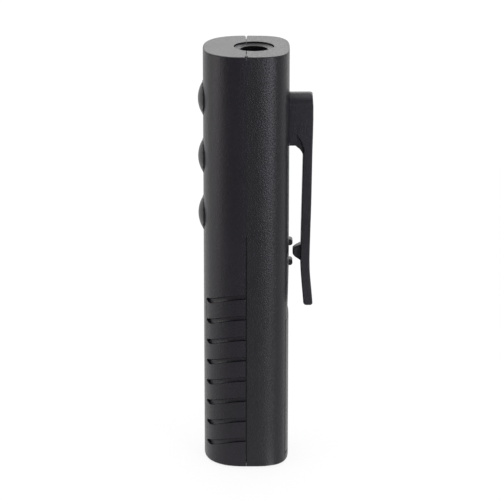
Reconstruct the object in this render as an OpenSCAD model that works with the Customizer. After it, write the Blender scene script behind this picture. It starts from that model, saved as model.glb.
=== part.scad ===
// Pocket counterfeit detector: a clamshell case with three buttons, a lamp in its
// top end, a spring clip on its back and a battery behind a door.
// +Z is up, the buttons face -Y, the clip is on +Y, and the origin is the middle of the base.

/* [Body] */
// Height of the body
body_h = 125; // [121:0.5:132]
// How much wider than its cell the body is, side to side
body_spare_w = 9.6; // [9:0.1:12]
// How much deeper than its cell the body is, front to back
body_spare_d = 8; // [7.6:0.1:10]
// Squareness of the front half's outline
front_exp = 2.43; // [2.35:0.01:2.8]
// Squareness of the rear half's outline
rear_exp = 3.37; // [3.1:0.01:3.8]
// Thickness of the shells' side walls
wall = 1.8; // [1.6:0.05:2]
// Thickness of the top and bottom walls
end_wall = 2.2; // [1.8:0.1:2.6]

/* [Parting line] */
// Gap between the two shells
seam_gap = 0.12; // [0.08:0.01:0.2]
// Width of the shadow line along the lower part of the seam
shadow_w = 0.36; // [0.24:0.02:0.6]
// Depth of the shadow line
shadow_deep = 0.5; // [0.2:0.05:0.6]
// Height where the shadow line begins
shadow_z0 = 2; // [1:0.5:4]
// Height where the shadow line ends
shadow_z1 = 71.8; // [60:0.5:76]
// Reach of the rear shell's tongue into the front shell
tongue_reach = 1.2; // [0.8:0.1:1.6]
// Thickness of the tongue
tongue_t = 0.7; // [0.6:0.05:0.8]

/* [Grip grooves] */
// Number of grooves on each side
groove_count = 8; // [1:1:8]
// Height of the lowest groove at the seam
groove_z0 = 8.7; // [7:0.1:11]
// Distance from one groove to the next
groove_pitch = 6.36; // [5:0.1:7]
// Width of a groove
groove_w = 1.3; // [0.8:0.1:2]
// Depth of a groove
groove_deep = 0.7; // [0.3:0.1:0.8]
// Distance from the seam to the groove's round tip
groove_reach = 10.9; // [9:0.1:11.4]
// Radius of the groove's downward sweep
groove_sweep = 20.7; // [18:0.1:40]

/* [Buttons] */
// Distance from the top of the case down to the highest button
button_drop = 15.4; // [14.8:0.2:17]
// Distance from one button to the next
button_pitch = 17.3; // [16:0.1:18]
// Diameter of a button
button_d = 10; // [8.4:0.1:10.2]
// How far a button stands proud of the case
button_proud = 1.5; // [1.1:0.1:2]
// How far a button travels
button_travel = 0.5; // [0.2:0.05:0.8]
// Side clearance of a button in its hole
button_gap = 0.12; // [0.08:0.01:0.2]
// Width of the flange that keeps a button in
button_flange = 0.7; // [0.4:0.1:1]

/* [Lamp] */
// How far the lamp sits behind the middle of the body
lamp_y = 2.2; // [1.8:0.1:2.6]
// Diameter of the cone-shaped dimple around the lamp hole
dimple_d = 11.6; // [11:0.1:12.6]
// Diameter of the lamp hole, and bore of the barrel under it
lamp_bore_d = 8; // [7.8:0.1:8.4]
// Depth of the dimple
dimple_deep = 0.9; // [0.8:0.05:1.1]
// Depth of the straight rim at the dimple's edge
dimple_rim = 0.35; // [0.3:0.05:0.5]
// Length of the lamp barrel
lamp_len = 12.7; // [12:0.1:14]
// Diameter of each lamp
led_d = 3; // [2.6:0.1:3]

/* [Clip] */
// Width of the clip
clip_w = 6.8; // [6:0.1:7.4]
// Distance from the top of the case down to the clip's top
clip_drop = 13.5; // [11:0.5:15]
// Length of the clip from its top to its tip
clip_len = 64.1; // [62:0.05:65.5]
// Thickness of the clip's arm
clip_t = 2.7; // [2.3:0.1:3]
// Distance from the clip's tip up to the bend where the arm turns outwards
clip_foot = 13.6; // [11:0.05:15]
// Gap between the arm and the back of the body, at the bend
clip_gap = 3.35; // [3:0.05:3.6]
// Lean of the arm above its bend, in degrees away from the body
clip_lean = 0.95; // [0:0.05:1.2]
// Flare of the arm below its bend, in degrees away from the body
clip_flare = 4.7; // [2:0.1:6]

/* [Battery] */
// Diameter of the cell
cell_d = 17; // [16:0.1:17]
// Length of the cell, with its positive nub
cell_len = 34.5; // [33:0.5:35]
// How much wider than the cell the battery door is
door_spare = 0.3; // [0.1:0.05:0.5]
// Height of the door's hinged edge
door_z0 = 2.5; // [2.4:0.1:3]
// Gap around the door
door_gap = 0.22; // [0.1:0.01:0.25]

/* [Hidden] */

// Colours
plastic = [0.07, 0.07, 0.075];
clip_plastic = [0.1, 0.1, 0.105];
button_plastic = [0.05, 0.05, 0.055];
laminate = [0.06, 0.25, 0.12];
steel = [0.75, 0.75, 0.77];
epoxy = [0.05, 0.05, 0.05];

// Fineness of round parts, small round parts and the outline
$fn = 64;
small_fn = 32;
outline_steps = 30;
// Overshoot of a cut past the surface it opens
over = 1;

// Body
body_w = cell_d + body_spare_w;
body_d = cell_d + body_spare_d;
half_w = body_w / 2;
half_d = body_d / 2;
inner_w = half_w - wall;
inner_d = half_d - wall;
roof_z = body_h - end_wall;

// Tongue: it fills the inner part of the wall, with the shadow line outside it
tongue_gap = 0.1;

// Side reach of the groove cutters: they start this far from the middle
groove_x0 = 5;

// Buttons and switches, counted inwards from the front
button_z0 = body_h - button_drop - 2 * button_pitch;
button_heights = [for (i = [0:2]) button_z0 + i * button_pitch];
screw_heights = [for (i = [0, 1]) button_z0 + (i + 0.5) * button_pitch];
button_r = button_d / 2;
button_apex_y = -half_d - button_proud;
dome_rise = button_proud + 0.1;
dome_r = (pow(button_r, 2) + pow(dome_rise, 2)) / (2 * dome_rise);
flange_t = 0.8;
flange_slack = 0.1;
flange_r = button_r + button_gap + button_flange;
seat_y = -half_d + wall + 0.1;
flange_y = seat_y + flange_slack;
switch_w = 6;
switch_h = 2.5;
switch_slack = 1.1;
switch_y = flange_y + flange_t + button_travel + switch_slack;
board_y = switch_y + switch_h;
plunger_r = 1.7;
plunger_gap = 0.05;
plunger_in = 0.8;

// Main board, between the battery bay and the lamp
board_t = 1;
board_w = 18;
board_back = board_y + board_t;
board_rise = 8.5;
lamp_board_t = 1;
fit = 0.1;

// Battery bay, counted up from the floor
cradle_floor_t = 1;
contact_t = 0.3;
spring_h = 1.4;
cradle_z0 = end_wall + fit;
plate_z = cradle_z0 + cradle_floor_t + fit / 2;
cell_z0 = plate_z + contact_t + spring_h;
cell_z1 = cell_z0 + cell_len;
pos_z = cell_z1 + fit / 2;
bulkhead_z = pos_z + contact_t + fit / 2;
bulkhead_t = 1.2;
cradle_z1 = bulkhead_z + bulkhead_t;
cell_r = cell_d / 2;
cell_gap = 0.2;
cradle_t = 0.8;
cradle_r = cell_r + cell_gap + cradle_t;
door_inner_y = half_d - wall;
door_play = 1;
cell_y = door_inner_y - door_play - cell_r;
door_lap = 3.2;
door_z1 = cradle_z1 + door_lap;
board_lift = 1.7;
board_z0 = cradle_z1 + board_lift;
door_half = cell_r + door_spare / 2;
hook_x = 6;
hook_w = 2.4;
hook_t = 0.7;
hook_drop = 1.3;
hook_root = 3;
nub_d = 6;
nub_h = 1;
spring_seat_r = 6;
spring_wire = 0.45;
strip_w = 3;
strip_tail = 3;

// Small parts on the back of the main board
chip_rise = 14;
coil_rise = 24;
resistor_w = 0.8;
resistor_t = 0.5;
resistor_pitch = 4;

// Lamp, counted down from the top
barrel_r = 5.9;
barrel_z1 = roof_z - fit;
barrel_z0 = barrel_z1 - lamp_len;
collar_w = 0.8;
collar_t = 1.6;
lamp_board_z = barrel_z0 - lamp_board_t;
lamp_board_r = lamp_y - board_back - fit;
board_z1 = lamp_board_z + board_rise;
led_ring = 2.15;
led_flange_r = led_d / 2 + 0.3;
led_flange_t = 1;
led_h = 5.2;
shelf_t = 1;

// Clip
clip_top = body_h - clip_drop;
clip_tip = clip_top - clip_len;
clip_bend = clip_tip + clip_foot;
pad_t = 2.2;
pad_len = 15.2;
head_len = 11.9;
pad_y = half_d + pad_t;
pad_z0 = clip_top - pad_len;
head_z0 = clip_top - head_len;
bend_y = half_d + clip_gap;
pivot_rise = 0.4;
pivot_z = head_z0 + pivot_rise;
pivot_y = bend_y + (pivot_z - clip_bend) * tan(clip_lean) + clip_t / 2;
arm_out = pivot_y + clip_t / 2;
knuckle_gap = 0.12;
arm_corner = 0.5;
nub_rise = 2.6;
nub_z = clip_bend + nub_rise;
nub_w = 2.9;
nub_gap = 1.1;
nub_tip = half_d + nub_gap;
clip_screw_drop = 6.4;
clip_screw_pitch = 4.5;
clip_screw_z = [for (i = [0, 1]) clip_top - clip_screw_drop - i * clip_screw_pitch];
rib_h = 1.7;
rib_w = 3.2;
rib_proud = 1.1;
rib_above = 2.7;
rib_below = 3.45;
scoop_r = 60;
scoop_deep = 0.5;
scoop_lift = 2.2;
scoop_edge = 0.6;
scoop_half = 14;
scoop_z = door_z1 + scoop_lift;

// Screws
screw_r = 0.85;
bite = 0.05;
head_r = 1.75;
head_h = 1.3;
screw_hole_r = 1.05;
boss_r = 2.1;
board_screw_len = 4;
clip_screw_bite = 2.6;
clip_screw_len = wall + clip_screw_bite;

// Signed power, which keeps the sign of its base
function spow(b, e) = sign(b) * pow(abs(b), e);

// Half of a rounded-square outline: side is -1 for the front half and 1 for the rear
function half_outline(w, d, e, side) =
    [for (i = [0:outline_steps]) let (a = 180 * i / outline_steps)
        [w * spow(cos(a), 2 / e), side * d * pow(sin(a), 2 / e)]];

module half_column(inset, side, z0, z1) {
    e = side < 0 ? front_exp : rear_exp;
    translate([0, 0, z0])
        linear_extrude(z1 - z0)
            polygon(half_outline(half_w - inset, half_d - inset, e, side));
}

module box(x, y, z) {
    translate([x[0], y[0], z[0]])
        cube([x[1] - x[0], y[1] - y[0], z[1] - z[0]]);
}

// Cylinder along Y, from y0 to y1
module rod_y(r, x, z, y0, y1, fn = $fn) {
    translate([x, y0, z])
        rotate([-90, 0, 0])
            cylinder(r = r, h = y1 - y0, $fn = fn);
}

// Cylinder along Z, from z0 to z1
module rod_z(r, x, y, z0, z1, fn = $fn) {
    translate([x, y, z0])
        cylinder(r = r, h = z1 - z0, $fn = fn);
}

// Upright slab with round ends, seen along Y
module slot_y(w, z0, z1, y0, y1) {
    rod_y(w / 2, 0, z0 + w / 2, y0, y1);
    rod_y(w / 2, 0, z1 - w / 2, y0, y1);
    box([-w / 2, w / 2], [y0, y1], [z0 + w / 2, z1 - w / 2]);
}

module pair_x(x) {
    for (s = [-1, 1])
        translate([s * x, 0, 0])
            children();
}

// One groove's sweep on both sides of the body: an arc that falls towards the front
module groove_sweep_cut(z) {
    turn = asin(groove_reach / groove_sweep);
    deep = half_w + over - groove_x0;
    for (side = [0, 1])
        mirror([side, 0, 0])
            translate([groove_x0, 0, z - groove_sweep])
                rotate([0, 90, 0])
                    rotate([0, 0, 180]) {
                        rotate_extrude(angle = turn)
                            translate([groove_sweep - groove_w / 2, 0])
                                square([groove_w, deep]);
                        rotate([0, 0, turn])
                            translate([groove_sweep, 0, 0])
                                cylinder(d = groove_w, h = deep, $fn = small_fn);
                    }
}

module grip_grooves() {
    intersection() {
        union()
            for (i = [0:groove_count - 1])
                groove_sweep_cut(groove_z0 + i * groove_pitch);
        difference() {
            half_column(-over, -1, 0, body_h);
            half_column(groove_deep, -1, -over, body_h + over);
        }
    }
}

// Shadow line: a shallow rebate on both sides of the seam
module shadow_line() {
    for (s = [-1, 1])
        translate([s * half_w, 0, (shadow_z0 + shadow_z1) / 2])
            cube([2 * shadow_deep, shadow_w, shadow_z1 - shadow_z0], center = true);
}

// Round lamp hole through the roof, in its cone-shaped dimple
module lamp_mouth() {
    rod_z(lamp_bore_d / 2, 0, lamp_y, roof_z - over, body_h + over);
    translate([0, lamp_y, body_h - dimple_deep])
        cylinder(d1 = lamp_bore_d, d2 = dimple_d, h = dimple_deep - dimple_rim);
    rod_z(dimple_d / 2, 0, lamp_y, body_h - dimple_rim, body_h + over);
}

module front_shell() {
    color(plastic) {
        difference() {
            intersection() {
                half_column(0, -1, 0, body_h);
                box([-body_w, body_w], [-body_d, -seam_gap / 2], [-over, body_h + over]);
            }
            intersection() {
                half_column(wall, -1, end_wall, roof_z);
                box([-body_w, body_w], [-body_d, over], [0, body_h]);
            }
            // Rebate for the rear shell's tongue
            box([-inner_w - tongue_t - tongue_gap, inner_w + tongue_t + tongue_gap],
                [-tongue_reach - tongue_gap, over], [end_wall, roof_z]);
            lamp_mouth();
            for (z = button_heights) {
                rod_y(button_r + button_gap, 0, z, -body_d, 0);
                rod_y(flange_r + button_gap, 0, z, seat_y, 0);
            }
            grip_grooves();
            shadow_line();
        }
        for (z = screw_heights)
            difference() {
                rod_y(boss_r, 0, z, -inner_d - 0.3, board_y);
                rod_y(screw_r + bite, 0, z, board_y - board_screw_len, board_y + over, small_fn);
            }
    }
}

// Tongue along one side of the rear shell's seam
module tongue() {
    pair_x(inner_w + tongue_t / 2)
        translate([0, (1 - tongue_reach) / 2, (end_wall + roof_z) / 2])
            cube([tongue_t, 1 + tongue_reach, roof_z - end_wall - 2 * fit], center = true);
}

// Rounded rib across the back, for the clip to press against
module back_rib(z) {
    rib_y = half_d + rib_proud;
    pair_x(0)
        translate([-rib_w / 2, rib_y - rib_h / 2, z])
            rotate([0, 90, 0])
                cylinder(d = rib_h, h = rib_w, $fn = small_fn);
    box([-rib_w / 2, rib_w / 2], [half_d - 0.6, rib_y - rib_h / 2],
        [z - rib_h / 2, z + rib_h / 2]);
}

module rear_shell() {
    color(plastic) {
        difference() {
            intersection() {
                half_column(0, 1, 0, body_h);
                box([-body_w, body_w], [seam_gap / 2, body_d], [-over, body_h + over]);
            }
            half_column(wall, 1, end_wall, roof_z);
            box([-inner_w, inner_w], [-over, over], [end_wall, roof_z]);
            lamp_mouth();
            shadow_line();
            door_opening();
            thumb_scoop();
            for (z = clip_screw_z)
                rod_y(screw_hole_r, 0, z, inner_d - over, half_d + over, small_fn);
        }
        tongue();
        for (z = [nub_z - rib_below, nub_z + rib_above])
            back_rib(z);
        // Two short shelves that carry the lamp board
        pair_x(4)
            box([-1, 1], [lamp_y + lamp_board_r - 1.6, inner_d + 0.2],
                [lamp_board_z - fit - shelf_t, lamp_board_z - fit]);
    }
}

module door_opening() {
    box([-door_half - door_gap, door_half + door_gap],
        [door_inner_y - 4, half_d + over], [door_z0, door_z1 + door_gap]);
    // Pockets for the door's two hooks
    pair_x(hook_x)
        box([-hook_w / 2 - 0.2, hook_w / 2 + 0.2], [door_inner_y - hook_t - 0.9, door_inner_y + 0.1],
            [door_z0 - hook_drop - 0.3, door_z0 + 0.5]);
}

// Long shallow hollow above the door, for the thumb that opens it
module thumb_scoop() {
    intersection() {
        translate([-inner_w, half_d - scoop_deep + scoop_r, scoop_z])
            rotate([0, 90, 0])
                cylinder(r = scoop_r, h = 2 * inner_w, $fn = 128);
        box([-door_half, door_half], [half_d - 2, half_d + over],
            [door_z1 + door_gap + scoop_edge, scoop_z + scoop_half]);
    }
}

module battery_door() {
    color(plastic) {
        intersection() {
            difference() {
                half_column(0, 1, 0, body_h);
                half_column(wall, 1, -over, body_h);
            }
            box([-door_half, door_half], [0, body_d], [door_z0 + door_gap, door_z1]);
        }
        pair_x(hook_x) {
            box([-hook_w / 2, hook_w / 2], [door_inner_y - hook_t, door_inner_y],
                [door_z0 - hook_drop, door_z0 + hook_root]);
            box([-hook_w / 2, hook_w / 2], [door_inner_y - hook_t, door_inner_y + wall / 4],
                [door_z0 + door_gap, door_z0 + hook_root]);
        }
    }
}

module clip_root() {
    color(clip_plastic)
        difference() {
            union() {
                intersection() {
                    slot_y(clip_w, pad_z0, clip_top, half_d - 1, pad_y);
                    clear_of_back();
                }
                intersection() {
                    slot_y(clip_w, head_z0 - clip_w, clip_top, pad_y - 0.2, arm_out);
                    box([-clip_w, clip_w], [0, body_d], [head_z0, clip_top + over]);
                }
            }
            // Socket that the arm's round end turns in
            knuckle(clip_t / 2 + knuckle_gap, clip_w + 2 * over);
            box([-clip_w, clip_w], [pivot_y, arm_out + over], [head_z0 - over, pivot_z]);
            for (z = clip_screw_z)
                rod_y(screw_r + bite, 0, z, half_d - over, half_d + 3, small_fn);
        }
}

// Everything behind the curved back of the body
module clear_of_back() {
    difference() {
        box([-body_w, body_w], [half_d / 2, body_d], [0, body_h]);
        half_column(-0.02, 1, -over, body_h + over);
    }
}

module knuckle(r, w) {
    translate([-w / 2, pivot_y, pivot_z])
        rotate([0, 90, 0])
            cylinder(r = r, h = w, $fn = small_fn);
}

// Side profile of the arm's straight run and its flared end, drawn as Y and Z
module arm_profile() {
    lower = clip_bend - clip_tip;
    tip_y = bend_y + lower * tan(clip_flare);
    polygon([
        [pivot_y - clip_t / 2, pivot_z], [bend_y, clip_bend],
        [tip_y - arm_corner * tan(clip_flare), clip_tip + arm_corner],
        [tip_y + arm_corner, clip_tip],
        [tip_y + clip_t - arm_corner, clip_tip],
        [tip_y + clip_t - arm_corner * tan(clip_flare), clip_tip + arm_corner],
        [bend_y + clip_t, clip_bend], [pivot_y + clip_t / 2, pivot_z]]);
}

module clip_arm() {
    color(clip_plastic) {
        knuckle(clip_t / 2, clip_w);
        translate([-clip_w / 2, 0, 0])
            rotate([90, 0, 90])
                linear_extrude(clip_w)
                    arm_profile();
        grip_nub();
    }
}

// Blunt tooth on the arm that pinches cloth against the ribs
module grip_nub() {
    nose = 0.5;
    root = bend_y + 0.5;
    translate([-nub_w / 2, 0, 0])
        rotate([90, 0, 90])
            linear_extrude(nub_w)
                polygon([
                    [root, nub_z + 2.6], [bend_y, nub_z + 2.3],
                    [nub_tip + nose, nub_z + 1.3], [nub_tip, nub_z + 0.8],
                    [nub_tip, nub_z - 0.6], [nub_tip + nose, nub_z - 1.3],
                    [bend_y, nub_z - 2.6], [root, nub_z - 2.7]]);
}

// Screw along Y: dir is 1 when its point is towards +Y
module screw_y(z, head_y, len, dir) {
    y0 = min(head_y, head_y + dir * len);
    h0 = min(head_y, head_y - dir * head_h);
    rod_y(screw_r, 0, z, y0, y0 + len, small_fn);
    difference() {
        rod_y(head_r, 0, z, h0, h0 + head_h, small_fn);
        for (a = [0, 90])
            translate([0, head_y - dir * head_h, z])
                rotate([0, a, 0])
                    cube([0.5, 1.2, 2.2], center = true);
    }
}

module clip_screws() {
    color(steel)
        for (z = clip_screw_z)
            screw_y(z, inner_d - fit, clip_screw_len, 1);
}

module board_screws() {
    color(steel)
        for (z = screw_heights)
            screw_y(z, board_back, board_screw_len, -1);
}

module button(z) {
    color(button_plastic) {
        intersection() {
            translate([0, button_apex_y + dome_r, z])
                sphere(r = dome_r, $fn = 96);
            rod_y(button_r, 0, z, button_apex_y - over, flange_y + 0.2);
        }
        rod_y(flange_r, 0, z, flange_y, flange_y + flange_t);
    }
}

module plunger(z) {
    color(epoxy)
        rod_y(plunger_r, 0, z, flange_y + flange_t, switch_y + plunger_in, small_fn);
}

module switch(z) {
    leg = 0.5;
    color(steel)
        difference() {
            box([-switch_w / 2, switch_w / 2], [switch_y, board_y - fit / 2],
                [z - switch_w / 2, z + switch_w / 2]);
            rod_y(plunger_r + plunger_gap, 0, z, switch_y - over,
                switch_y + plunger_in + button_travel + 0.2, small_fn);
        }
    color(steel)
        for (s = [-1, 1])
            pair_x(switch_w / 2 + leg / 2)
                box([-leg / 2 - 0.1, leg / 2], [board_y - 0.7, board_y - fit / 2],
                    [z + s * 2.2 - 0.35, z + s * 2.2 + 0.35]);
}

module button_bottom() { button(button_heights[0]); }
module button_middle() { button(button_heights[1]); }
module button_top() { button(button_heights[2]); }
module plunger_bottom() { plunger(button_heights[0]); }
module plunger_middle() { plunger(button_heights[1]); }
module plunger_top() { plunger(button_heights[2]); }
module switch_bottom() { switch(button_heights[0]); }
module switch_middle() { switch(button_heights[1]); }
module switch_top() { switch(button_heights[2]); }

module main_board() {
    color(laminate)
        difference() {
            box([-board_w / 2, board_w / 2], [board_y, board_back], [board_z0, board_z1]);
            for (z = screw_heights)
                rod_y(screw_hole_r, 0, z, board_y - over, board_back + over, small_fn);
        }
}

module driver_chip() {
    z = board_z0 + chip_rise;
    color(epoxy)
        box([-2, 2], [board_back + 0.15, board_back + 1.6], [z - 2.5, z + 2.5]);
    color(steel)
        for (s = [-1, 1], i = [0:3])
            box([min(s * 1.8, s * 3), max(s * 1.8, s * 3)], [board_back, board_back + 0.5],
                [z - 2.1 + i * 1.27, z - 1.7 + i * 1.27]);
}

module inductor() {
    z = board_z0 + coil_rise;
    color(epoxy) {
        rod_y(3, 0, z, board_back, board_back + 0.8, small_fn);
        rod_y(2.1, 0, z, board_back + 0.8, board_back + 2.4, small_fn);
        rod_y(3, 0, z, board_back + 2.4, board_back + 3.2, small_fn);
    }
}

module resistors() {
    color(epoxy)
        for (s = [-1, 1], i = [0:2])
            translate([s * board_w / 3, board_back + resistor_t / 2,
                board_z0 + chip_rise + (i - 1) * resistor_pitch])
                cube([2 * resistor_w, resistor_t, resistor_w], center = true);
}

module lamp_barrel() {
    color(clip_plastic)
        difference() {
            union() {
                rod_z(barrel_r, 0, lamp_y, barrel_z0, barrel_z1);
                rod_z(barrel_r + collar_w, 0, lamp_y, barrel_z1 - collar_t, barrel_z1);
            }
            rod_z(lamp_bore_d / 2, 0, lamp_y, barrel_z0 - over, barrel_z1 + over);
        }
}

module lamp_board() {
    color(laminate)
        rod_z(lamp_board_r, 0, lamp_y, lamp_board_z, barrel_z0 - fit / 2);
}

module led(turn, tint) {
    color(tint)
        translate([led_ring * sin(turn), lamp_y + led_ring * cos(turn), barrel_z0]) {
            cylinder(r = led_flange_r, h = led_flange_t, $fn = small_fn);
            cylinder(d = led_d, h = led_h - led_d / 2, $fn = small_fn);
            translate([0, 0, led_h - led_d / 2])
                sphere(d = led_d, $fn = small_fn);
        }
}

module led_ultraviolet() { led(0, [0.6, 0.5, 0.9]); }
module led_white() { led(120, [0.95, 0.95, 0.85]); }
module led_infrared() { led(240, [0.2, 0.05, 0.05]); }

module battery_cradle() {
    wing_y = cell_y + 2.5;
    color(clip_plastic)
        difference() {
            union() {
                rod_z(cradle_r, 0, cell_y, cradle_z0, cradle_z1);
                box([-cradle_r, cradle_r], [cell_y, wing_y], [cradle_z0, cradle_z1]);
            }
            box([-body_w, body_w], [wing_y, body_d], [0, body_h]);
            rod_z(cell_r + cell_gap, 0, cell_y, cradle_z0 + cradle_floor_t, bulkhead_z);
            box([-cell_r - cell_gap, cell_r + cell_gap], [cell_y, wing_y + over],
                [cradle_z0 + cradle_floor_t, bulkhead_z]);
            // Slots for the two contact strips
            box([-strip_w / 2 - fit, strip_w / 2 + fit],
                [board_back, board_back + contact_t + 2 * fit], [bulkhead_z - over, cradle_z1 + over]);
            box([-strip_w / 2 - fit, strip_w / 2 + fit], [-body_d, cell_y - cell_r + 1],
                [cradle_z0 + cradle_floor_t, plate_z + contact_t + fit]);
        }
}

module battery_cell() {
    color([0.2, 0.25, 0.5])
        rod_z(cell_r, 0, cell_y, cell_z0, cell_z1 - nub_h);
    color(steel)
        rod_z(nub_d / 2, 0, cell_y, cell_z0 + 1, cell_z1);
}

module positive_contact() {
    tail_y = board_back + fit;
    color(steel) {
        box([-nub_d / 2, nub_d / 2], [tail_y, cell_y + nub_d / 2], [pos_z, pos_z + contact_t]);
        strip([tail_y, tail_y + contact_t], [pos_z, board_z0 + strip_tail]);
    }
}

// One straight run of a contact strip, from its Y and Z reach
module strip(y, z) {
    box([-strip_w / 2, strip_w / 2], y, z);
}

module negative_contact() {
    strip_y = cell_y - cradle_r - fit - contact_t;
    tail_y = board_y - fit - contact_t;
    bend_z = (cradle_z1 + board_z0) / 2;
    color(steel) {
        rod_z(spring_seat_r, 0, cell_y, plate_z, plate_z + contact_t);
        strip([strip_y, cell_y], [plate_z, plate_z + contact_t]);
        strip([strip_y, strip_y + contact_t], [plate_z, bend_z + contact_t]);
        strip([strip_y, tail_y + contact_t], [bend_z, bend_z + contact_t]);
        strip([tail_y, tail_y + contact_t], [bend_z, board_z0 + strip_tail]);
    }
}

// Cone spring under the cell: rings of shrinking size joined by short steps
module battery_spring() {
    turns = 3;
    step_in = spring_seat_r / 6;
    rise = (spring_h - spring_wire) / (turns - 1);
    color(steel)
        for (i = [0:turns - 1])
            translate([0, cell_y, plate_z + contact_t + spring_wire / 2 + i * rise]) {
                rotate_extrude($fn = 48)
                    translate([spring_seat_r - (i + 1) * step_in, 0])
                        circle(d = spring_wire, $fn = 16);
                if (i < turns - 1)
                    translate([spring_seat_r - (i + 1.5) * step_in, 0, rise / 2])
                        cube([step_in + 0.2, 0.3, rise], center = true);
            }
}

front_shell();
rear_shell();
battery_door();
clip_root();
clip_arm();
clip_screws();
button_top();
button_middle();
button_bottom();
plunger_top();
plunger_middle();
plunger_bottom();
switch_top();
switch_middle();
switch_bottom();
main_board();
board_screws();
driver_chip();
inductor();
resistors();
lamp_barrel();
lamp_board();
led_ultraviolet();
led_white();
led_infrared();
battery_cradle();
battery_cell();
positive_contact();
negative_contact();
battery_spring();
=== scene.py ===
"""A pocket counterfeit detector, piece by piece: its case, door, clip, buttons, lamps and battery."""

import math

import bmesh
import bpy
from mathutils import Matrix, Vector


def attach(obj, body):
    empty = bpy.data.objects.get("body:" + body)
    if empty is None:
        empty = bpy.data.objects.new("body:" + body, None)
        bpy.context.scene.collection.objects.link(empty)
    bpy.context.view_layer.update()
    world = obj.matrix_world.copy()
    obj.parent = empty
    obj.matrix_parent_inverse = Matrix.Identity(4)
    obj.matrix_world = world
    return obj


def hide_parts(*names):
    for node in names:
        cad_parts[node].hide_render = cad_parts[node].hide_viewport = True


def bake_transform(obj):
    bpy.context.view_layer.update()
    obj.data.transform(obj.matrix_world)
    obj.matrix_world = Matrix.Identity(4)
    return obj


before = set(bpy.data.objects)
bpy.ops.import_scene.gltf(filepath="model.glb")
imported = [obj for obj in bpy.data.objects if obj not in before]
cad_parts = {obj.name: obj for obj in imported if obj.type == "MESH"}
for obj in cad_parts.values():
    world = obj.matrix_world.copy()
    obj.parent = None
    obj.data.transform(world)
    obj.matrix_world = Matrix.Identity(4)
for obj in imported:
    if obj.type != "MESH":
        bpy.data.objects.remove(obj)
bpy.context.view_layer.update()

# ---------------------------------------------------------------------------------------------
# Studio: a white table top in a white room, with wide soft boxes overhead and behind and a small
# one at each side. What glossy plastic mirrors of the room grows dim toward the camera; the table's
# glow in those reflections is painted darker toward the camera too, as painted shade, but for one
# painted streak of brighter glow on the clip's side, a painted highlight. The camera stands square
# to the case's long side and looks slightly down.
# ---------------------------------------------------------------------------------------------
MM = 0.001


class Wire:
    """A node's socket that can stand in a formula; each operator adds its Math node."""

    def __init__(self, finish, socket):
        self.finish = finish
        self.socket = socket

    def math(self, operation, *values):
        return self.finish.node("ShaderNodeMath", {"operation": operation}, dict(enumerate(values)))

    def __add__(self, other):
        return self.math("ADD", self, other)

    __radd__ = __add__

    def __sub__(self, other):
        return self.math("SUBTRACT", self, other)

    def __rsub__(self, other):
        return self.math("SUBTRACT", other, self)

    def __mul__(self, other):
        return self.math("MULTIPLY", self, other)

    __rmul__ = __mul__

    def __truediv__(self, other):
        return self.math("DIVIDE", self, other)

    def __rtruediv__(self, other):
        return self.math("DIVIDE", other, self)

    def __pow__(self, other):
        return self.math("POWER", self, other)

    def __abs__(self):
        return self.math("ABSOLUTE", self)

    def most(self, other):
        return self.math("MAXIMUM", self, other)

    def between(self, low, high):
        """0 below low, 1 above high, and a soft step from one to the other."""
        return self.finish.node(
            "ShaderNodeMapRange",
            {"interpolation_type": "SMOOTHSTEP"},
            {"Value": self, "From Min": low, "From Max": high, "To Min": 0.0, "To Max": 1.0},
        )


class Finish:
    """The node tree of a material or of the world, and the one way that its nodes are added."""

    def __init__(self, owner):
        owner.use_nodes = True
        self.owner = owner
        self.tree = owner.node_tree
        self.tree.nodes.clear()

    def node(self, kind, settings=None, inputs=None, output=0):
        node = self.tree.nodes.new(kind)
        for name, value in (settings or {}).items():
            setattr(node, name, value)
        for name, value in (inputs or {}).items():
            if isinstance(value, Wire):
                self.tree.links.new(value.socket, node.inputs[name])
            else:
                node.inputs[name].default_value = value
        return Wire(self, node.outputs[output] if len(node.outputs) else None)

    def place(self):
        """Where a point lies on its own piece, in metres."""
        return self.node("ShaderNodeTexCoord", output=3)

    def parted(self, vector):
        """The x, y and z of a vector."""
        parts = self.node("ShaderNodeSeparateXYZ", None, {"Vector": vector}).socket.node.outputs
        return [Wire(self, part) for part in parts]

    def rays(self):
        """Whether a ray is the camera's, straight or through resin, and whether it is mirrored."""
        path = self.node("ShaderNodeLightPath").socket.node.outputs
        straight, through, glossy = [
            Wire(self, path["Is %s Ray" % kind]) for kind in ("Camera", "Transmission", "Glossy")
        ]
        return straight.most(through), glossy

    def mix(self, share, first, second):
        """One colour turning into another."""
        return self.node("ShaderNodeMix", {"data_type": "RGBA"}, {0: share, 6: first, 7: second}, 2)

    def surface(self, shader):
        kind = "World" if isinstance(self.owner, bpy.types.World) else "Material"
        self.node("ShaderNodeOutput" + kind, None, {"Surface": shader})
        return self.owner


def grey(value):
    return (value, value, value, 1.0)


scene = bpy.context.scene
scene.view_settings.view_transform = "Standard"

case_height = 125.0
camera_rise = math.radians(18.25)
camera_reach = 788.3
bpy.ops.object.select_all(action="DESELECT")
bpy.ops.object.camera_add(
    location=(
        camera_reach * math.cos(camera_rise) * MM,
        0,
        (case_height / 2 + camera_reach * math.sin(camera_rise)) * MM,
    ),
    rotation=(math.pi / 2 - camera_rise, 0, math.pi / 2),
)
camera = bpy.context.object
camera.name = "studio_camera"
camera.data.lens = 192.9
camera.data.sensor_width = 36
camera.data.shift_x = 0.0075
camera.data.shift_y = 0.0062
camera.data.clip_start = 0.01
scene.camera = camera


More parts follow.
